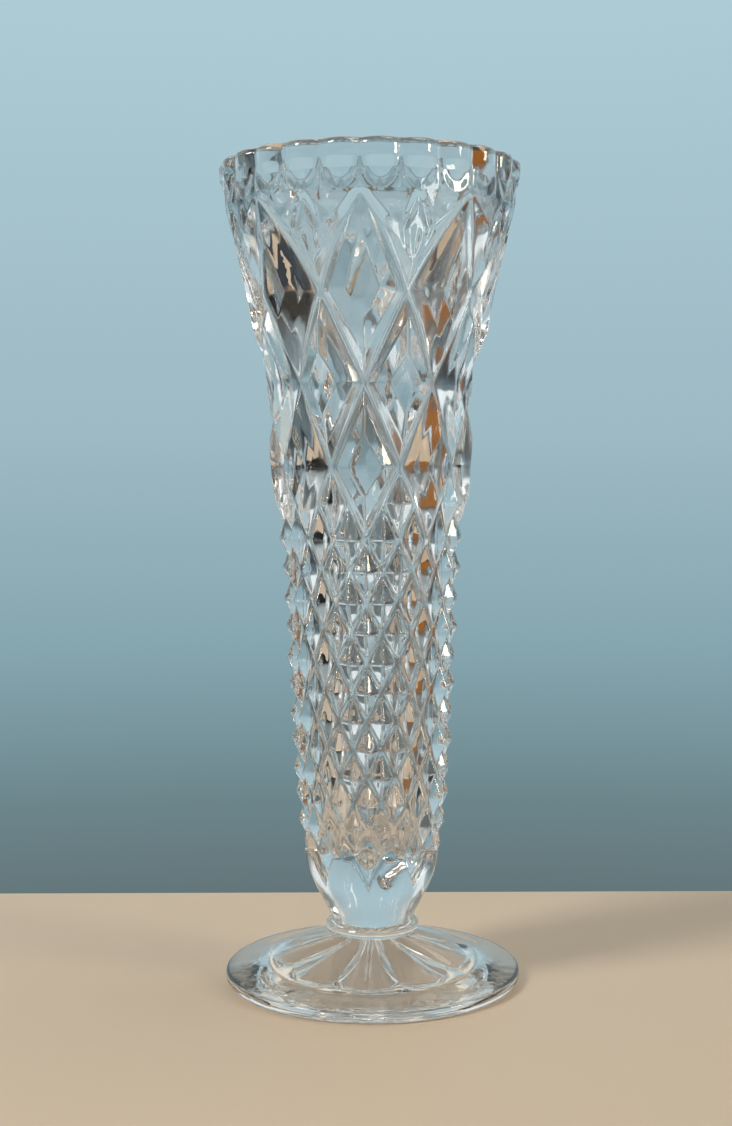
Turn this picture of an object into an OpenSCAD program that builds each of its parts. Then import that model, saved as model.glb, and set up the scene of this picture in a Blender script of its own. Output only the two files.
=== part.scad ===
// Footed crystal vase: a tapering bowl cut with diamonds, a collar and a smooth foot over a star-shaped hollow.
// Millimetres, +Z up, base centre at the origin, front face towards -Y.

/* [Overall] */
// Overall height of the vase
vase_h = 230; // [200:1:260]
// Radius of the foot
foot_r = 42; // [36:0.1:48]
// Height of the joint between foot and collar
foot_top_z = 13.4; // [12:0.1:15]
// Thickness of the collar
collar_h = 3.4; // [2.5:0.1:6]

/* [Rim] */
// Largest radius of the lip, over the scallops
rim_r = 42.3; // [40:0.1:46]
// Number of scallops around the lip
scallops = 24; // [16:8:32]
// Depth of the valleys between scallops
scallop_depth = 1.5; // [0.5:0.1:2]
// Height of the scalloped band
scallop_band_h = 12; // [8:0.5:16]
// Size of the rounded edge of the lip
lip_round = 1.1; // [0.5:0.1:1.6]

/* [Diamonds] */
// Number of large diamonds around the bowl
large_count = 8; // [6:1:12]
// Turn of the whole pattern about the axis, in degrees
pattern_turn = -3.9; // [-22:0.1:22]
// Depth of the large mitre cuts
large_depth = 4; // [2:0.1:4.4]
// Depth of the small mitre cuts
small_depth = 3.2; // [1.5:0.1:3.4]
// Number of rows of small diamonds below the large ones
small_rows = 12; // [8:1:12]
// Spacing of the first two rows of small diamonds
row_pitch = 8.6; // [7:0.1:9]
// Height of the lowest points of the small diamonds
pattern_bottom_z = 30; // [28:0.5:32]

/* [Cavity] */
// Height of the inside bottom above the base
cavity_bottom_z = 35; // [32:0.5:40]
// Radius of the mouth
mouth_r = 37.6; // [34:0.1:38]

/* [Foot] */
// Radius of the top of the foot where the collar sits
foot_neck_r = 12; // [11:0.1:13]
// Thickness of the foot at its edge
border_h = 3.2; // [2.5:0.1:4]
// Number of points of the star under the foot
star_points = 8; // [6:1:12]
// Radius of the points of the star
star_tip_r = 25.6; // [22:0.2:27]
// Radius of the corners between the points of the star
star_corner_r = 21.4; // [18:0.2:23]
// Height of the middle of the star above the table
star_h = 11; // [6:0.5:12]
// Radius of the shallow recess around the star
recess_r = 28; // [27:0.5:32]
// Depth of the shallow recess around the star
recess_depth = 0.6; // [0.3:0.1:1]

/* [Hidden] */
glass_blue = [0.78, 0.86, 0.90];
collar_top_z = foot_top_z + collar_h;

// Ring resolutions: each is a whole multiple of the one below it.
small_columns = 4 * large_count;
large_columns = 2 * small_columns;
rim_columns = 3 * large_columns;

// Levels where the large mitre cuts start, cross and end, from the top.
scallop_bottom_z = vase_h - 1 - scallop_band_h;
levels = [scallop_bottom_z, 192.4, 168.1, 145.8, 126];
steps_per_level = 4;
large_rows = steps_per_level * (len(levels) - 1);

// Outline of the bowl over the tips of the cuts, as [height, radius].
outer_stations = [
    [collar_top_z, 11.3], [pattern_bottom_z, 17.7], [38.5, 19.8], [46.5, 21.3], [61.5, 22.8],
    [84.5, 24], [117.5, 25.7], [146, 28.3], [160, 28.95], [170, 29.8], [182, 32.8],
    [192.4, 34.5], [scallop_bottom_z, 40.3], [vase_h - 7, 41.7], [vase_h, rim_r]
];

// Outline of the cavity, as [height, radius].
inner_stations = [
    [cavity_bottom_z, 0], [cavity_bottom_z + 1, 5.5], [cavity_bottom_z + 5, 10.4],
    [49, 13.6], [64, 15.4], [90, 17], [118, 18.4], [146.3, 20], [168.3, 22.2],
    [180, 24.2], [192.3, 27], [204, 30.8], [scallop_bottom_z, 35], [vase_h, mouth_r]
];

// Index of the station just below a height.
function station_below(stations, z, i = 0) =
    i >= len(stations) - 2 || z < stations[i + 1][0] ? i : station_below(stations, z, i + 1);

// Slope of the outline at one station.
function station_slope(stations, i) =
    let (a = max(i - 1, 0), b = min(i + 1, len(stations) - 1))
    (stations[b][1] - stations[a][1]) / (stations[b][0] - stations[a][0]);

// Smooth radius of an outline at a height.
function smooth_radius(stations, z) =
    let (
        i = station_below(stations, z),
        span = stations[i + 1][0] - stations[i][0],
        t = (z - stations[i][0]) / span,
        rise = stations[i + 1][1] - stations[i][1],
        start_slope = station_slope(stations, i) * span,
        end_slope = station_slope(stations, i + 1) * span
    )
    stations[i][1] + rise * t * t * (3 - 2 * t)
        + start_slope * t * (1 - t) * (1 - t) - end_slope * t * t * (1 - t);

function outer_radius(z) = smooth_radius(outer_stations, z);

// Distance of a number from the nearest whole number.
function off_whole(x) = abs(x - round(x));

// Distance into a diamond from its surrounding cuts: 0 on a cut, 1 at the centre.
// Across is counted in half diamonds around the bowl, and down in half diamonds of height.
function inside_diamond(across, down) =
    2 * min(off_whole((across + down) / 2), off_whole((across - down) / 2));

// Depth of a large cut, as a share of its full depth: steep sides, then a table.
function large_share(inside) = lookup(inside, [[0, 1], [0.25, 0.42], [0.5, 0.16], [0.75, 0], [1, 0]]);

// A point of the outer surface: column turn in degrees, height and radius.
function surface_point(turn, z, radius) =
    [radius * sin(turn + pattern_turn), -radius * cos(turn + pattern_turn), z];

function ring(columns, z, radii) =
    [for (c = [0 : columns - 1]) surface_point(c * 360 / columns, z, radii[c])];

// Lip and scallops.
scallop_fade = 5;
rim_heights = [
    vase_h, vase_h - 0.3 * lip_round, vase_h - lip_round, vase_h - 4,
    scallop_bottom_z + scallop_fade, scallop_bottom_z + 0.5 * scallop_fade
];
function lip_setback(z) =
    let (drop = vase_h - z)
    drop >= lip_round ? 0 : lip_round * (1 - sqrt(1 - pow(1 - drop / lip_round, 2)));
function scallop_share(z) = min(1, (z - scallop_bottom_z) / scallop_fade);
function scallop_cut(turn, z) =
    scallop_depth * sqrt(scallop_share(z)) * (1 - abs(sin(turn * scallops / 2)));
rim_rings = [for (z = rim_heights)
    ring(rim_columns, z, [for (c = [0 : rim_columns - 1])
        outer_radius(min(z, vase_h - lip_round)) - lip_setback(z) - scallop_cut(c * 360 / rim_columns, z)])
];

// Large diamonds, ending in the first small ones.
function level_height(down) =
    let (i = min(floor(down), len(levels) - 2))
    levels[i] + (levels[i + 1] - levels[i]) * (down - i);
function in_small_zone(across, down) =
    down > 3 && off_whole(across / 2) * 2 > 4 - down;
function mitre_taper(down) = min(1, 1.3 * down);
function large_cut(across, down) =
    in_small_zone(across, down)
        ? small_depth * (1 - inside_diamond(2 * across, 2 * down))
        : large_depth * mitre_taper(down) * large_share(inside_diamond(across, down));
large_rings = [for (row = [0 : large_rows - 1])
    let (down = row / steps_per_level, z = level_height(down))
    ring(large_columns, z, [for (c = [0 : large_columns - 1])
        outer_radius(z) - large_cut(c * 2 * large_count / large_columns, down)])
];

// Small diamonds: points and cut crossings take turns along every row.
row_shrink = 0.0565;
function row_height(row) = levels[len(levels) - 1] - row_pitch * row + row_shrink * row * row;
small_rings = [for (row = [0 : small_rows - 1])
    let (z = row_height(row))
    ring(small_columns, z, [for (c = [0 : small_columns - 1])
        outer_radius(z) - ((c + row) % 2 == 0 ? small_depth : 0)])
];

// Smooth solid taper below the cuts.
taper_steps = 4;
taper_rings = [for (step = [0 : taper_steps])
    let (z = pattern_bottom_z + (collar_top_z - pattern_bottom_z) * step / taper_steps)
    ring(small_columns, z, [for (c = [0 : small_columns - 1]) outer_radius(z)])
];

// Index of the first point of each ring in the joined point list.
function ring_starts(rings, i = 0, total = 0) =
    i >= len(rings) ? [] : concat([total], ring_starts(rings, i + 1, total + len(rings[i])));
function flatten(lists) = [for (list = lists) each list];

// The same triangles facing the other way.
function turned(faces) = [for (face = faces) [face[2], face[1], face[0]]];

// Faces between two rings of equal size. Down-right diagonals are used where lean is true.
function band_faces(top, bottom, columns, lean) =
    [for (c = [0 : columns - 1]) let (n = (c + 1) % columns)
        each lean[c]
            ? [[top + c, bottom + n, top + n], [top + c, bottom + c, bottom + n]]
            : [[top + c, bottom + c, top + n], [top + n, bottom + c, bottom + n]]];

// Faces from a fine ring down to a coarser ring, with share fine columns for every coarse one.
function merge_faces(top, bottom, coarse, share) =
    let (half = floor(share / 2), fine = coarse * share)
    [for (c = [0 : coarse - 1]) let (n = (c + 1) % coarse) each concat(
        [for (k = [0 : 1 : half - 1]) [top + c * share + k, bottom + c, top + c * share + k + 1]],
        [[top + c * share + half, bottom + c, bottom + n]],
        [for (k = [half : 1 : share - 1])
            [top + c * share + k, bottom + n, top + (c * share + k + 1) % fine]])];

// Diagonals that follow the cuts of a lattice: a cut through the corner of a square leans right.
function lattice_lean(columns, per_cell, row) =
    [for (c = [0 : columns - 1]) (floor(c / per_cell) + floor(row / per_cell)) % 2 == 0];

// Smooth cavity, from its bottom up to the mouth.
cavity_columns = large_columns;
cavity_step = 8;
cavity_outline = concat(
    [for (i = [1 : 2]) inner_stations[i]],
    [for (z = [cavity_bottom_z + 9 : cavity_step : vase_h - 3]) [z, smooth_radius(inner_stations, z)]],
    [[vase_h - 1, mouth_r], [vase_h, mouth_r + 0.6]]
);
cavity_rings = [for (station = cavity_outline)
    ring(cavity_columns, station[0], [for (c = [0 : cavity_columns - 1]) station[1]])
];

// The bowl's rings in order: up the cavity, over the lip and down the outside.
bowl_rings = concat(cavity_rings, rim_rings, large_rings, small_rings, taper_rings);
bowl_starts = ring_starts(bowl_rings);
first_rim = len(cavity_rings);
first_large = first_rim + len(rim_rings);
first_small = first_large + len(large_rings);
ring_total = len(bowl_rings);

// Lean of the diagonals after one ring of the bowl.
function bowl_lean(i) =
    i < first_rim ? [for (c = [0 : cavity_columns - 1]) true]
    : i < first_large ? [for (c = [0 : rim_columns - 1]) true]
    : i < first_small ?
        let (row = i - first_large)
        row < 12 ? lattice_lean(large_columns, steps_per_level, row)
        : [for (c = [0 : large_columns - 1])
            let (across = (c + 0.5) * 2 * large_count / large_columns, down = (row + 0.5) / steps_per_level)
            in_small_zone(across, down)
                ? (floor(c / 2) + floor(row / 2)) % 2 == 0
                : (floor(c / steps_per_level) + 3) % 2 == 0]
    : lattice_lean(small_columns, 1, i - first_small);

// Faces between ring i and the next one, whichever of the two is finer.
function ring_faces(i) =
    let (here = len(bowl_rings[i]), next = len(bowl_rings[i + 1]))
    here == next ? band_faces(bowl_starts[i], bowl_starts[i + 1], here, bowl_lean(i))
    : here > next ? merge_faces(bowl_starts[i], bowl_starts[i + 1], next, here / next)
    : turned(merge_faces(bowl_starts[i + 1], bowl_starts[i], here, next / here));
bowl_faces = concat(
    [[for (c = [0 : cavity_columns - 1]) c]],
    [for (i = [0 : ring_total - 2]) each ring_faces(i)],
    [[for (c = [small_columns - 1 : -1 : 0]) bowl_starts[ring_total - 1] + c]]
);

module bowl() {
    color(glass_blue)
    polyhedron(points = flatten(bowl_rings), faces = bowl_faces, convexity = 10);
}

// Rounded ring between the bowl and the foot.
collar_bulge = 1.3;
module collar() {
    color(glass_blue)
    rotate_extrude($fn = 96)
        polygon([
            [0, foot_top_z],
            [foot_neck_r, foot_top_z],
            [foot_neck_r + 0.7 * collar_bulge, foot_top_z + 0.16 * collar_h],
            [foot_neck_r + collar_bulge, foot_top_z + 0.4 * collar_h],
            [foot_neck_r + 0.9 * collar_bulge, foot_top_z + 0.7 * collar_h],
            [foot_neck_r + 0.25 * collar_bulge, foot_top_z + 0.92 * collar_h],
            [foot_neck_r - 0.6, collar_top_z],
            [0, collar_top_z]
        ]);
}

// Foot: a smooth slope above, and below a pyramid hollow whose outline is a star in a shallow round recess.
foot_columns = 8 * star_points;
star_cell = 360 / star_points;
foot_outline = [
    [foot_neck_r, foot_top_z], [14, 12.6], [18, 11], [24, 8.7], [30, 6.4], [35, 4.5], [38, 3.7],
    [foot_r - 1, border_h], [foot_r - 0.3, border_h - 0.5], [foot_r, border_h - 1.4],
    [foot_r - 0.2, 0.7], [foot_r - 0.9, 0], [recess_r + 0.5, 0], [recess_r, recess_depth]
];

// Radius of the star's outline, along a straight side from a point to the next corner.
function star_radius(turn) =
    let (half = star_cell / 2, off_point = star_cell * off_whole(turn / star_cell))
    star_tip_r * star_corner_r * sin(half)
        / (star_tip_r * sin(off_point) + star_corner_r * sin(half - off_point));

function foot_ring(radii, z) =
    [for (c = [0 : foot_columns - 1]) surface_point(c * 360 / foot_columns, z, radii[c])];
foot_rings = concat(
    [for (station = foot_outline) foot_ring([for (c = [0 : foot_columns - 1]) station[0]], station[1])],
    [for (share = [1, 0.8, 0.6, 0.4, 0.2])
        foot_ring([for (c = [0 : foot_columns - 1]) share * star_radius(c * 360 / foot_columns)],
            star_h + (recess_depth - star_h) * share)]
);
foot_starts = ring_starts(foot_rings);
foot_ring_total = len(foot_rings);
foot_middle = foot_ring_total * foot_columns;
foot_faces = concat(
    [[for (c = [0 : foot_columns - 1]) c]],
    [for (i = [0 : foot_ring_total - 2])
        each band_faces(foot_starts[i], foot_starts[i + 1], foot_columns, [for (c = [0 : foot_columns - 1]) true])],
    [for (c = [0 : foot_columns - 1])
        [foot_starts[foot_ring_total - 1] + (c + 1) % foot_columns, foot_starts[foot_ring_total - 1] + c, foot_middle]]
);

module foot() {
    color(glass_blue)
    polyhedron(points = concat(flatten(foot_rings), [[0, 0, star_h]]), faces = foot_faces, convexity = 6);
}

bowl();
collar();
foot();
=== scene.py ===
import math

import bpy
import numpy as np
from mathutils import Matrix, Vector


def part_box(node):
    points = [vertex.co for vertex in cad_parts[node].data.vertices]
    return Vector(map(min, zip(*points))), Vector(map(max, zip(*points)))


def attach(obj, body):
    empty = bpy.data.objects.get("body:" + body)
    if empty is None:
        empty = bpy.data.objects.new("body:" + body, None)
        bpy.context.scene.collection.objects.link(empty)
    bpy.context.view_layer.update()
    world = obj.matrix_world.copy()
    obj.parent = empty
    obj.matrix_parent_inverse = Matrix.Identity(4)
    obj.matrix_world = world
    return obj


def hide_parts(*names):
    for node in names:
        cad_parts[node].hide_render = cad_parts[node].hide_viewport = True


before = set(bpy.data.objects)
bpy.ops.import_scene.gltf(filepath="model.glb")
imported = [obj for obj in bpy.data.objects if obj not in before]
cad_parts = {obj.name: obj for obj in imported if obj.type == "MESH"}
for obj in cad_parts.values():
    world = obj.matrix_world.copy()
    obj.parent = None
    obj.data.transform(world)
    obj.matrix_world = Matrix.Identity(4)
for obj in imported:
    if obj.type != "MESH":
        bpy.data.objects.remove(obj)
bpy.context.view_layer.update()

MM = 0.001

# Name of the point attribute that says how matt the glass is.
GROUND = "ground"

# Heights along the vase, in millimetres.
FOOT_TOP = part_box("foot")[1][2] / MM
COLLAR_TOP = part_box("collar")[1][2] / MM
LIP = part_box("bowl")[1][2] / MM
BAND_BOTTOM = 217.0
CAVITY_BOTTOM = 35.0
PATTERN_BOTTOM = 30.0

# The cut pattern repeats around the axis, turned a little from the front.
LARGE_COUNT = 8
SCALLOPS = 24
STAR_POINTS = 8
PATTERN_TURN = math.radians(-3.9)

# Fine mesh steps along one small half diamond.
STEPS = 16
COLUMNS = 4 * LARGE_COUNT * STEPS

# Heights where the large cuts start, cross and end.
LEVELS = [BAND_BOTTOM, 192.4, 168.1, 145.8, 126.0]

# Places down the pattern, counted in small half diamonds: of the levels above, of the rows where the large
# diamonds give way to studs, of the last full row of studs, and past the end of the bowl.
LEVEL_PLACES = [0, 2, 4, 6, 8]
LARGE_ROWS_FULL, LARGE_ROWS_END = 6, 8
STUD_ROWS_END = 19
PATTERN_ROWS = 22.5

# Height of one row of studs, and how much less each next row takes.
ROW_PITCH = 8.6
ROW_SHRINK = 0.0565

# Outlines as (height, radius): over the tips of the cuts, and inside the cavity.
OUTER = [
    (COLLAR_TOP, 11.3), (PATTERN_BOTTOM, 17.7), (38.5, 19.8), (46.5, 21.3), (61.5, 22.8), (84.5, 24.0),
    (117.5, 25.7), (146, 28.3), (160, 28.95), (170, 29.8), (182, 32.8), (192.4, 34.5),
    (BAND_BOTTOM, 40.3), (LIP - 7, 41.7), (LIP, 42.3),
]
INNER = [
    (CAVITY_BOTTOM, 0.0), (CAVITY_BOTTOM + 1, 5.5), (CAVITY_BOTTOM + 5, 10.4), (49, 13.6), (64, 15.4),
    (90, 17.0), (118, 18.4), (146.3, 20.0), (168.3, 22.2), (180, 24.2), (192.3, 27.0), (204, 30.8),
    (BAND_BOTTOM, 35.0), (LIP, 37.6),
]

# Depth of the cuts where they cross, by height.
CUT_DEPTHS = [
    (PATTERN_BOTTOM, 2.2), (38, 2.4), (61, 2.9), (100, 3.2), (126, 3.4), (145.8, 3.8), (168.1, 4.1),
    (192.4, 4.4), (205, 2.7), (BAND_BOTTOM, 0.3),
]


def smooth_outline(stations, z):
    """Radius of an outline at each height, as a smooth curve through its stations."""
    heights = np.array([s[0] for s in stations], float)
    radii = np.array([s[1] for s in stations], float)
    slopes = np.gradient(radii, heights)
    slopes[1:-1] = (radii[2:] - radii[:-2]) / (heights[2:] - heights[:-2])
    z = np.clip(z, heights[0], heights[-1])
    i = np.clip(np.searchsorted(heights, z) - 1, 0, len(heights) - 2)
    span = heights[i + 1] - heights[i]
    t = (z - heights[i]) / span
    rise = radii[i + 1] - radii[i]
    return (radii[i] + rise * t * t * (3 - 2 * t) + slopes[i] * span * t * (1 - t) ** 2
            - slopes[i + 1] * span * t * t * (1 - t))


def lookup(stations, z):
    """Straight-line value of a list of (height, value) stations, lowest height first."""
    return np.interp(z, [s[0] for s in stations], [s[1] for s in stations])


def lattice_height(down):
    """Height of a place on the lattice, counted down in small half diamonds from the upper tips."""
    row = np.maximum(down - LARGE_ROWS_END, 0)
    small = LEVELS[-1] - ROW_PITCH * row + ROW_SHRINK * row * row
    return np.where(down <= LARGE_ROWS_END, np.interp(down, LEVEL_PLACES, LEVELS), small)


def soft_abs(x, soft):
    """Absolute value with its corner rounded."""
    return np.sqrt(x * x + soft * soft) - soft


def soft_min(a, b, soft):
    """The smaller of two values, blended where they meet."""
    return 0.5 * (a + b - np.sqrt((a - b) ** 2 + soft * soft))


def off_whole(x):
    """Distance to the nearest whole number."""
    return np.abs(x - np.round(x))


def inside_diamond(across, down, soft_cut, soft_ridge):
    """0 on a cut and 1 at the centre of a diamond, with the creases slightly rounded."""
    rising = soft_abs(off_whole((across + down) / 2), soft_cut)
    falling = soft_abs(off_whole((across - down) / 2), soft_cut)
    return 2 * soft_min(rising, falling, soft_ridge)


# Depth left at each share of the way from a cut to the middle of a large diamond.
LARGE_PROFILE = [(0.0, 1.0), (0.04, 0.98), (0.25, 0.44), (0.625, 0.0), (1.0, 0.0)]

# A shallower cut is also narrower: it has its full width at this depth.
FULL_WIDTH_DEPTH = 4.2

# Share of a large diamond that the matt finish covers, the width over which it fades, and the places
# down the pattern over which it comes in and goes out.
GROUND_WIDTH = 0.21
GROUND_FADE = 0.06
GROUND_FULL = 0.7
GROUND_END, GROUND_END_FADE = 8.5, 2

# Share of a stud's flank taken by the flat floor of its cuts, and the slope at which the last cuts run out.
STUD_FLOOR = 0.1
FADE_SLOPE = 3.0

# Degrees between the middle of a large diamond and its corner.
HALF_CELL = 180 / LARGE_COUNT


def ground_share(turns, down):
    """How much the wheel's matt finish still shows: on the flanks of the large cuts only."""
    inside = inside_diamond(turns / math.radians(HALF_CELL), down / 2, 0.01, 0.02)
    edge = np.clip((GROUND_WIDTH - inside) / GROUND_FADE, 0, 1)
    return edge * np.clip((GROUND_END - down) / GROUND_END_FADE, 0, 1) * min(1.0, down / GROUND_FULL)


def line_cut(turn, z, radius, start, end, depth):
    """Depth of one short cut that runs between two (turn in degrees, height) points and fades at both."""
    ax, az = math.radians(start[0]), start[1]
    bx, bz = math.radians(end[0]), end[1]
    cell = 2 * math.pi / LARGE_COUNT
    side = (turn - ax + cell / 2) % cell - cell / 2
    px, pz = side * radius, z - az
    qx, qz = (bx - ax) * radius, bz - az
    length = qx * qx + qz * qz
    t = np.clip((px * qx + pz * qz) / length, 0, 1)
    distance = soft_abs(np.hypot(px - t * qx, pz - t * qz), 0.15)
    here = depth * np.sqrt(np.clip(4 * t * (1 - t), 0, 1))
    return np.maximum(here - 0.7 * distance, 0)


# Short cuts of one fan, as (turn, height) ends and depth: between two large mitre cuts.
FAN_CUTS = [
    ((HALF_CELL, 195.5), (HALF_CELL, 207.5), 1.2),
    ((HALF_CELL - 1.3, 195.0), (HALF_CELL - 6.2, 208.0), 1.3),
    ((HALF_CELL + 1.3, 195.0), (HALF_CELL + 6.2, 208.0), 1.3),
    ((HALF_CELL - 0.3, 216.0), (HALF_CELL - 5.8, 207.0), 1.0),
    ((HALF_CELL + 0.3, 216.0), (HALF_CELL + 5.8, 207.0), 1.0),
]
FAN_END = 2.2


def cut_depth(turn, down, z, radius):
    """Depth of the pattern below the outline, for one row of the bowl."""
    if down <= 0:
        return np.zeros_like(turn)
    across = turn / math.radians(HALF_CELL)
    depth = lookup(CUT_DEPTHS, z)
    narrowing = min(1.0, depth / FULL_WIDTH_DEPTH)
    large = depth * lookup(LARGE_PROFILE, inside_diamond(across, down / 2, 0.01, 0.02) / narrowing)
    stud_half_width = radius * math.radians(HALF_CELL) / 2
    stud_half_height = abs(lattice_height(down + 0.5) - lattice_height(down - 0.5))
    reach = stud_half_width * stud_half_height / math.hypot(stud_half_width, stud_half_height)
    inside = reach * inside_diamond(2 * across, down, 0.02, 0.05)
    floor = STUD_FLOOR * reach
    small = depth * (1 - np.clip((inside - floor) / (reach - floor), 0, 1))
    even_gap = off_whole(across / 2) * 2
    if down <= LARGE_ROWS_FULL:
        cut = large
    elif down < LARGE_ROWS_END:
        cut = np.where(even_gap > 4 - down / 2, small, large)
    elif down <= STUD_ROWS_END:
        cut = small
    else:
        below = 2 * even_gap + (down - STUD_ROWS_END) - 1
        run_out = np.maximum(depth - FADE_SLOPE * np.maximum(reach * below - floor, 0), 0)
        cut = np.where(below > 0, run_out, small)
    if down < FAN_END:
        for start, end, fan_depth in FAN_CUTS:
            cut = np.maximum(cut, line_cut(turn, z, radius, start, end, fan_depth))
    return cut


# The lip: depth of the valleys between its tabs, its outer and inner rounding, the height of the crease
# under the smooth part of the tabs, the depth of the scoops below that, and how matt the lip's edge is.
SCALLOP_DEPTH = 1.9
LIP_ROUND = 1.9
MOUTH_ROUND = 1.3
CREASE_HEIGHT = 225.1
DROP_DEPTH = 0.8
LIP_MATT = 0.7

# Outline of the cavity's floor: its rise and radius, and the rings it is built from.
FLOOR_RISE = 4.2
FLOOR_RADIUS = 10.4
FLOOR_RINGS = (1.2, 2.8, 4.4, 6.0, 7.6, 9.0)


def scallop_cut(turn, z):
    """Depth of the valleys between the lip's tabs, and of the round-ended scoop under each tab."""
    off_valley = off_whole(turn * SCALLOPS / (2 * math.pi)) * 2
    below = np.clip((CREASE_HEIGHT - z) / (CREASE_HEIGHT - BAND_BOTTOM), 0, 1)
    valley = SCALLOP_DEPTH * (1 - below) * (1 - np.sin(soft_abs(off_valley, 0.04) * math.pi / 2) ** 0.75)
    drop = np.clip(1 - np.hypot(1 - off_valley, below), 0, 1)
    return np.maximum(valley, 0) + DROP_DEPTH * min(1.0, 3 * below) * soft_min(3 * drop, 1.0, 0.1)


def ground_lip(turn, z):
    """The matt finish in the valleys between the tabs, fading downwards."""
    off_valley = off_whole(turn * SCALLOPS / (2 * math.pi)) * 2
    return np.clip((0.13 - off_valley) / 0.06, 0, 1) * np.clip((z - BAND_BOTTOM) / 6, 0, 1)


def ring_points(turns, z, radius):
    """One ring of points around the axis; turn 0 faces -Y."""
    turned = turns + PATTERN_TURN
    return np.column_stack([radius * np.sin(turned), -radius * np.cos(turned), z + np.zeros_like(turns)])


def lean_of(columns, down):
    """Which way the diagonals of one row of squares run, so that they follow the cuts."""
    c = np.arange(columns)
    small = (c // STEPS + math.floor(down)) % 2 == 0
    large = (c // (2 * STEPS) + math.floor(down / 2)) % 2 == 0
    if down < LARGE_ROWS_FULL:
        return large
    if down >= LARGE_ROWS_END:
        return small
    across = (c + 0.5) / (2 * STEPS)
    return np.where(off_whole(across / 2) * 2 > 4 - down / 2, small, large)


def skin(name, rings, leans, joint_caps=(False, False), ground=None):
    """A closed piece from rings of equal size in order, with a cap on the first and the last one."""
    columns = len(rings[0])
    points = np.vstack(rings)
    middle_first = len(points)
    points = np.vstack([points, rings[0].mean(0), rings[-1].mean(0)])
    c = np.arange(columns)
    n = (c + 1) % columns
    faces = []
    for i, lean in enumerate(leans):
        top, bottom = i * columns, (i + 1) * columns
        lean = np.broadcast_to(lean, (columns,))
        first = np.where(lean[:, None], np.column_stack([top + c, bottom + n, top + n]),
                         np.column_stack([top + c, bottom + c, top + n]))
        second = np.where(lean[:, None], np.column_stack([top + c, bottom + c, bottom + n]),
                          np.column_stack([top + n, bottom + c, bottom + n]))
        faces += [first, second]
    last = (len(rings) - 1) * columns
    faces.append(np.column_stack([np.full(columns, middle_first), c, n]))
    faces.append(np.column_stack([np.full(columns, middle_first + 1), last + n, last + c]))
    triangles = np.vstack(faces)
    mesh = bpy.data.meshes.new(name)
    mesh.vertices.add(len(points))
    mesh.vertices.foreach_set("co", (points * MM).ravel())
    mesh.loops.add(triangles.size)
    mesh.loops.foreach_set("vertex_index", triangles.ravel().astype(np.int32))
    mesh.polygons.add(len(triangles))
    mesh.polygons.foreach_set("loop_start", np.arange(0, triangles.size, 3, dtype=np.int32))
    slots = np.zeros(len(triangles), dtype=np.int32)
    if joint_caps[0]:
        slots[-2 * columns:-columns] = 1
    if joint_caps[1]:
        slots[-columns:] = 1
    mesh.polygons.foreach_set("material_index", slots)
    mesh.polygons.foreach_set("use_smooth", np.ones(len(triangles), dtype=bool))
    mesh.update(calc_edges=True)
    mesh.validate()
    matt = mesh.attributes.new(GROUND, "FLOAT", "POINT")
    if ground is not None:
        matt.data.foreach_set("value", np.append(np.concatenate(ground), (0.0, 0.0)))
    piece = bpy.data.objects.new(name, mesh)
    bpy.context.scene.collection.objects.link(piece)
    return piece


def arc(start, end, count):
    """Even steps from start to end, without the end."""
    return list(np.linspace(start, end, count, endpoint=False))


def make_bowl():
    """The bowl: up the cavity, over the lip and down the cut outside to the joint with the collar."""
    turns = np.arange(COLUMNS) * 2 * math.pi / COLUMNS
    rings, leans, ground = [], [], []

    def add(z, radius, lean=True, matt=0.0):
        rings.append(ring_points(turns, z, radius + np.zeros_like(turns)))
        leans.append(lean)
        ground.append(matt + np.zeros_like(turns))

    for radius in FLOOR_RINGS:
        add(CAVITY_BOTTOM + FLOOR_RISE * (radius / FLOOR_RADIUS) ** 2.6, radius)
    mouth_bottom = LIP - LIP_ROUND
    for z in arc(CAVITY_BOTTOM + 5, mouth_bottom, 56):
        add(z, smooth_outline(INNER, z))
    mouth = smooth_outline(INNER, mouth_bottom) + MOUTH_ROUND
    for angle in np.radians([0, 22, 45, 68, 90]):
        add(mouth_bottom + LIP_ROUND * math.sin(angle), mouth - MOUTH_ROUND * math.cos(angle))
    lip_edge = OUTER[-1][1] - LIP_ROUND
    for share in (0.33, 0.66):
        add(LIP, mouth + (lip_edge - scallop_cut(turns, LIP) - mouth) * share, matt=LIP_MATT)
    for angle in np.radians([90, 70, 50, 30, 15, 0]):
        z = LIP - LIP_ROUND * (1 - math.sin(angle))
        radius = smooth_outline(OUTER, min(z, LIP - LIP_ROUND)) - LIP_ROUND * (1 - math.cos(angle))
        edge_matt = LIP_MATT * math.sin(angle) ** 0.3
        add(z, radius - scallop_cut(turns, z), matt=np.maximum(ground_lip(turns, z), edge_matt))
    for z in arc(LIP - LIP_ROUND - 0.5, BAND_BOTTOM, 4 * STEPS):
        add(z, smooth_outline(OUTER, z) - scallop_cut(turns, z), matt=ground_lip(turns, z))
    for down in arc(0, PATTERN_ROWS, int(PATTERN_ROWS * STEPS)):
        z = float(lattice_height(down))
        if z < COLLAR_TOP + 0.4:
            break
        radius = smooth_outline(OUTER, z)
        radii = radius - cut_depth(turns, down, z, radius)
        add(z, radii, lean_of(COLUMNS, down), ground_share(turns, down))
    taper_top = z
    for z in arc(taper_top, COLLAR_TOP, 3):
        add(z, smooth_outline(OUTER, z))
    add(COLLAR_TOP, smooth_outline(OUTER, COLLAR_TOP))
    return skin("cut_bowl", rings, leans[:-1], joint_caps=(False, True), ground=ground)


COLLAR_NECK = 12.0

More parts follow.
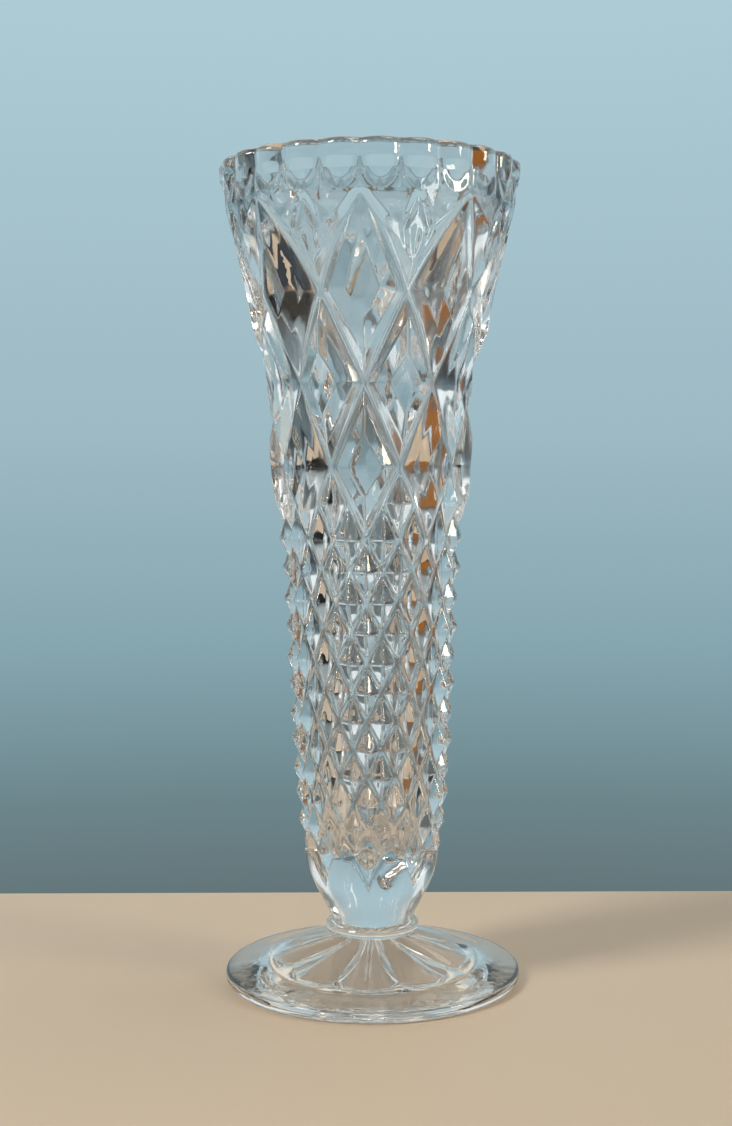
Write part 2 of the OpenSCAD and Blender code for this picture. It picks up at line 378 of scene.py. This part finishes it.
# Outline of the collar as (share of its height, radius).
COLLAR_PROFILE = [
    (0.0, COLLAR_NECK), (0.05, 12.5), (0.16, 12.95), (0.34, 13.25), (0.5, 13.3), (0.66, 13.2),
    (0.8, 12.85), (0.91, 12.3), (0.97, 11.8), (1.0, 11.3),
]


def make_collar():
    """The fire-polished ring between the bowl and the foot."""
    turns = np.arange(COLUMNS) * 2 * math.pi / COLUMNS
    steps = np.linspace(len(COLLAR_PROFILE) - 1, 0, 40)
    places = np.arange(len(COLLAR_PROFILE))
    shares = np.interp(steps, places, [p[0] for p in COLLAR_PROFILE])
    radii = np.interp(steps, places, [p[1] for p in COLLAR_PROFILE])
    heights = FOOT_TOP + shares * (COLLAR_TOP - FOOT_TOP)
    rings = [ring_points(turns, z, radius) for z, radius in zip(heights, radii)]
    return skin("collar_ring", rings, [True] * (len(rings) - 1), joint_caps=(True, True))


# Smooth upper side of the foot as (radius, height), and its rounded edge.
FOOT_SLOPE = [
    (COLLAR_NECK, FOOT_TOP), (14, 12.6), (18, 11.0), (24, 8.7), (30, 6.4), (35, 4.5),
    (38, 3.7), (41, 3.2),
]
FOOT_RADIUS = 42.0
EDGE_ROUND = 1.0

# The star pressed up into the base, inside a shallow round recess.
STAR_TIP = 25.6
STAR_CORNER = 21.4
STAR_HEIGHT = 11.0
RECESS_RADIUS = 28.0
RECESS_DEPTH = 0.6

# Its rounded creases, the fine rib along each point, and how strongly the valleys between them bend in.
CREASE_ROUND = 0.35
RIB_HEIGHT = 1.1
RIB_HALF_WIDTH = 0.75
VALLEY_BEND = 1.6
FOOT_COLUMNS = 96 * STAR_POINTS // 1


def star_radius(turns, share):
    """Outline of the star at a share of its size: points with a fine rib, and valleys between them."""
    half = math.pi / STAR_POINTS
    off_tip = off_whole(turns / (2 * half)) * 2
    soft = CREASE_ROUND / (half * STAR_TIP * max(share, 0.1))
    fall = soft_abs(off_tip, soft)
    fall = 1 - soft_abs(1 - (0.3 * fall + 0.7 * fall ** 3), 2 * soft)
    off_rib = off_tip * half * STAR_TIP * share / RIB_HALF_WIDTH
    rib = RIB_HEIGHT * min(1.0, 4 * (1 - share)) * np.clip(1 - off_rib ** 2, 0, 1)
    tip, corner = STAR_TIP * share, STAR_CORNER * share ** VALLEY_BEND
    return tip - (tip - corner) * fall + rib * min(1.0, 5 * share)


def make_foot():
    """The foot: down its smooth slope, round the polished edge, and up into the star-shaped hollow."""
    turns = np.arange(FOOT_COLUMNS) * 2 * math.pi / FOOT_COLUMNS
    slope_end = FOOT_RADIUS - EDGE_ROUND
    slope_radii = np.linspace(COLLAR_NECK, slope_end, 60)
    rings = [ring_points(turns, smooth_outline(FOOT_SLOPE, radius), radius) for radius in slope_radii]
    side_top, side_bottom = FOOT_SLOPE[-1][1] - EDGE_ROUND, EDGE_ROUND
    for angle in np.radians([70, 50, 30, 10]):
        rings.append(ring_points(turns, side_top + EDGE_ROUND * math.sin(angle),
                                 slope_end + EDGE_ROUND * math.cos(angle)))
    for angle in np.radians([0, -20, -40, -60, -80]):
        rings.append(ring_points(turns, side_bottom + EDGE_ROUND * math.sin(angle),
                                 slope_end + EDGE_ROUND * math.cos(angle)))
    base = [
        (slope_end - 0.3, 0.0), (RECESS_RADIUS + 0.5, 0.0), (RECESS_RADIUS + 0.3, 0.1),
        (RECESS_RADIUS, RECESS_DEPTH), (RECESS_RADIUS - 0.2, RECESS_DEPTH),
    ]
    rings += [ring_points(turns, z, radius) for radius, z in base]
    for share in np.linspace(1, 0.03, 50):
        height = STAR_HEIGHT + (RECESS_DEPTH - STAR_HEIGHT) * share
        rings.append(ring_points(turns, height, star_radius(turns, share)))
    return skin("star_foot", rings, [True] * (len(rings) - 1), joint_caps=(True, False))


REFRACTIVE_INDEX = 1.53
POLISHED, MATT = 0.004, 0.2


def crystal(name, tint, ripple, wear):
    """Clear crystal with a faint ripple, patchy wear and a matt finish left in the deep cuts."""
    material = bpy.data.materials.new(name)
    material.use_nodes = True
    nodes, links = material.node_tree.nodes, material.node_tree.links
    shader = nodes["Principled BSDF"]
    shader.inputs["IOR"].default_value = REFRACTIVE_INDEX
    shader.inputs["Transmission Weight"].default_value = 1.0
    shader.inputs["Base Color"].default_value = (*tint, 1.0)
    place = nodes.new("ShaderNodeTexCoord")
    broad = nodes.new("ShaderNodeTexNoise")
    broad.inputs["Scale"].default_value = 160.0
    broad.inputs["Detail"].default_value = 2.0
    links.new(place.outputs["Object"], broad.inputs["Vector"])
    swell = nodes.new("ShaderNodeBump")
    swell.inputs["Strength"].default_value = ripple
    swell.inputs["Distance"].default_value = 0.0006
    links.new(broad.outputs["Fac"], swell.inputs["Height"])
    links.new(swell.outputs["Normal"], shader.inputs["Normal"])
    patches = nodes.new("ShaderNodeTexNoise")
    patches.inputs["Scale"].default_value = 55.0
    patches.inputs["Detail"].default_value = 6.0
    links.new(place.outputs["Object"], patches.inputs["Vector"])
    haze = nodes.new("ShaderNodeMapRange")
    haze.inputs["From Min"].default_value = 0.52
    haze.inputs["From Max"].default_value = 0.78
    haze.inputs["To Min"].default_value = POLISHED
    haze.inputs["To Max"].default_value = wear
    links.new(patches.outputs["Fac"], haze.inputs["Value"])
    ground = nodes.new("ShaderNodeAttribute")
    ground.attribute_name = GROUND
    matt = nodes.new("ShaderNodeMath")
    matt.operation = "MULTIPLY_ADD"
    matt.inputs[1].default_value = MATT
    links.new(ground.outputs["Fac"], matt.inputs[0])
    links.new(haze.outputs["Result"], matt.inputs[2])
    links.new(matt.outputs["Value"], shader.inputs["Roughness"])
    return material


def fused_joint():
    """The face inside a hot glass joint, where there is no surface to see."""
    material = bpy.data.materials.new("fused_joint")
    material.use_nodes = True
    nodes, links = material.node_tree.nodes, material.node_tree.links
    nodes.remove(nodes["Principled BSDF"])
    clear = nodes.new("ShaderNodeBsdfTransparent")
    links.new(clear.outputs["BSDF"], nodes["Material Output"].inputs["Surface"])
    return material


joint = fused_joint()
GLASS_TINT = (0.945, 0.945, 0.945)
pieces = [
    (make_bowl(), "bowl", "bowl_glass", crystal("cut_crystal", GLASS_TINT, 0.16, 0.05)),
    (make_collar(), "collar", "collar_glass", crystal("fire_polished_crystal", GLASS_TINT, 0.16, 0.03)),
    (make_foot(), "foot", "foot_glass", crystal("pressed_crystal", GLASS_TINT, 0.14, 0.08)),
]
for piece, node, slot, material in pieces:
    piece.data.materials.append(material)
    piece.data.materials.append(joint)
    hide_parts(node)
    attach(piece, "root")


# The floor lies a hair below the glass, so that light passes cleanly between the two.
FLOOR_GAP = -0.0002


def make_floor():
    """A plain pale table top that ends a little behind the vase."""
    mesh = bpy.data.meshes.new("floor")
    near, back, side = -0.9, 0.089, 0.9
    corners = [(-side, near), (side, near), (side, back), (-side, back)]
    mesh.from_pydata([(x, y, FLOOR_GAP) for x, y in corners], [], [(0, 1, 2, 3)])
    floor = bpy.data.objects.new("floor", mesh)
    bpy.context.scene.collection.objects.link(floor)
    material = bpy.data.materials.new("pale_table")
    material.use_nodes = True
    shader = material.node_tree.nodes["Principled BSDF"]
    shader.inputs["Base Color"].default_value = (0.52, 0.41, 0.30, 1)
    shader.inputs["Roughness"].default_value = 0.45
    mesh.materials.append(material)


# Colours of the surroundings as (degrees above the horizon, linear colour): the backdrop, the dark flag
# on the left, the warm card on the right, the window at each end, and the room behind the camera.
BACKDROP = [
    (-17.5, (0.11, 0.14, 0.145)), (-11.8, (0.15, 0.235, 0.26)), (-6.3, (0.24, 0.38, 0.43)),
    (1.1, (0.34, 0.49, 0.55)), (16.3, (0.42, 0.60, 0.67)), (24, (0.40, 0.52, 0.56)),
    (35, (0.85, 0.78, 0.64)), (50, (0.85, 0.78, 0.64)), (62, (0.20, 0.22, 0.22)),
]
DARK_SIDE = [
    (-30, (0.16, 0.14, 0.13)), (-17, (0.32, 0.23, 0.14)), (-12, (0.006, 0.006, 0.007)),
    (1, (0.008, 0.009, 0.010)), (6, (0.22, 0.28, 0.30)), (26.7, (0.60, 0.64, 0.62)),
]
WARM_SIDE = [
    (-30, (0.10, 0.05, 0.02)), (-16.3, (0.36, 0.13, 0.012)), (-3, (0.30, 0.11, 0.018)),
    (4.6, (0.12, 0.10, 0.08)), (14.5, (0.30, 0.36, 0.38)), (26.7, (0.60, 0.62, 0.60)),
]
WALL_END = [
    (-17.5, (0.04, 0.05, 0.06)), (-3, (0.12, 0.17, 0.19)), (5, (0.17, 0.24, 0.27)), (9, (0.88, 0.97, 1.0)),
    (26, (0.88, 0.97, 1.0)), (31, (0.19, 0.24, 0.25)), (44, (0.9, 0.87, 0.76)), (60, (0.2, 0.22, 0.22)),
]
ROOM = [
    (-17.5, (0.012, 0.010, 0.010)), (0, (0.03, 0.03, 0.03)), (24, (0.09, 0.10, 0.10)),
    (45, (0.25, 0.25, 0.24)),
]

# Sines of the lowest and highest directions that the colour ramps cover.
LOWEST, HIGHEST = -0.5, 1.0


def ramp(nodes, stops):
    """A colour ramp over the height of a direction, with the given stops."""
    node = nodes.new("ShaderNodeValToRGB")
    elements = node.color_ramp.elements
    while len(elements) < len(stops):
        elements.new(0.5)
    for element, (degrees, color) in zip(elements, stops):
        element.position = (math.sin(math.radians(degrees)) - LOWEST) / (HIGHEST - LOWEST)
        element.color = (*color, 1.0)
    return node


def smooth_range(nodes, low, high):
    """A smooth step from 0 at the first value to 1 at the second."""
    node = nodes.new("ShaderNodeMapRange")
    node.interpolation_type = "SMOOTHSTEP"
    node.inputs["From Min"].default_value = low
    node.inputs["From Max"].default_value = high
    return node


# Places of the colour sockets on a Mix node, whose names repeat for every kind of value.
MIX_FIRST, MIX_SECOND, MIX_RESULT = 6, 7, 2


def blend(nodes, links, share, first, second):
    """First colour where the share is 0 and second where it is 1."""
    node = nodes.new("ShaderNodeMix")
    node.data_type = "RGBA"
    links.new(share, node.inputs["Factor"])
    links.new(first, node.inputs[MIX_FIRST])
    links.new(second, node.inputs[MIX_SECOND])
    return node.outputs[MIX_RESULT]


def make_world():
    """Studio surroundings: a pale blue backdrop with a window at each end, a dark flag and a warm card."""
    world = bpy.data.worlds.new("studio")
    bpy.context.scene.world = world
    world.use_nodes = True
    nodes, links = world.node_tree.nodes, world.node_tree.links
    place = nodes.new("ShaderNodeTexCoord")
    parts = nodes.new("ShaderNodeSeparateXYZ")
    links.new(place.outputs["Generated"], parts.inputs["Vector"])
    rise = nodes.new("ShaderNodeMapRange")
    rise.inputs["From Min"].default_value = LOWEST
    rise.inputs["From Max"].default_value = HIGHEST
    links.new(parts.outputs["Z"], rise.inputs["Value"])
    # Each next part covers the ones before it, over a range of one component of the direction.
    cover = [
        (WALL_END, "X", -0.54, -0.64), (WALL_END, "X", 0.54, 0.64), (DARK_SIDE, "X", -0.88, -0.95),
        (WARM_SIDE, "X", 0.83, 0.90), (ROOM, "Y", -0.25, -0.5),
    ]
    wall = ramp(nodes, BACKDROP)
    links.new(rise.outputs["Result"], wall.inputs["Fac"])
    color = wall.outputs["Color"]
    for stops, axis, start, full in cover:
        part = ramp(nodes, stops)
        links.new(rise.outputs["Result"], part.inputs["Fac"])
        share = smooth_range(nodes, start, full)
        links.new(parts.outputs[axis], share.inputs["Value"])
        color = blend(nodes, links, share.outputs["Result"], color, part.outputs["Color"])
    links.new(color, nodes["Background"].inputs["Color"])


def make_light(name, location, target, size, power, color):
    """A soft box that faces a target point."""
    light = bpy.data.lights.new(name, "AREA")
    light.shape = "RECTANGLE"
    light.size, light.size_y = size
    light.energy = power
    light.color = color
    lamp = bpy.data.objects.new(name, light)
    lamp.location = location
    aim = Vector(target) - Vector(location)
    lamp.rotation_mode = "QUATERNION"
    lamp.rotation_quaternion = aim.to_track_quat("-Z", "Y")
    bpy.context.scene.collection.objects.link(lamp)


make_floor()
make_world()
make_light("window", (-0.9, -0.5, 0.9), (0, 0, 0.1), (0.3, 0.45), 12, (1.0, 0.98, 0.95))
make_light("ceiling", (0.3, 0.1, 1.3), (0, 0, 0.1), (0.5, 0.5), 3, (0.93, 0.97, 1.0))
make_light("fill", (1.0, -0.4, 0.45), (0, 0, 0.1), (0.2, 0.3), 4, (1.0, 0.86, 0.66))

# The camera stands level with the middle of the bowl and looks slightly down.
CAMERA_DOWN, CAMERA_ROLL = 3.4, 0.2
camera_data = bpy.data.cameras.new("camera")
camera_data.lens = 50.76
camera_data.sensor_width = 36.0
camera = bpy.data.objects.new("camera", camera_data)
camera.location = (-0.0014, -0.450, 0.1454)
camera.rotation_euler = (math.radians(90 - CAMERA_DOWN), math.radians(CAMERA_ROLL), 0)
bpy.context.scene.collection.objects.link(camera)
bpy.context.scene.camera = camera

scene = bpy.context.scene
scene.cycles.max_bounces = 24
scene.cycles.transmission_bounces = 24
scene.cycles.glossy_bounces = 8
scene.cycles.transparent_max_bounces = 24
scene.cycles.sample_clamp_indirect = 8.0
scene.cycles.blur_glossy = 0.0
scene.view_settings.view_transform = "Standard"
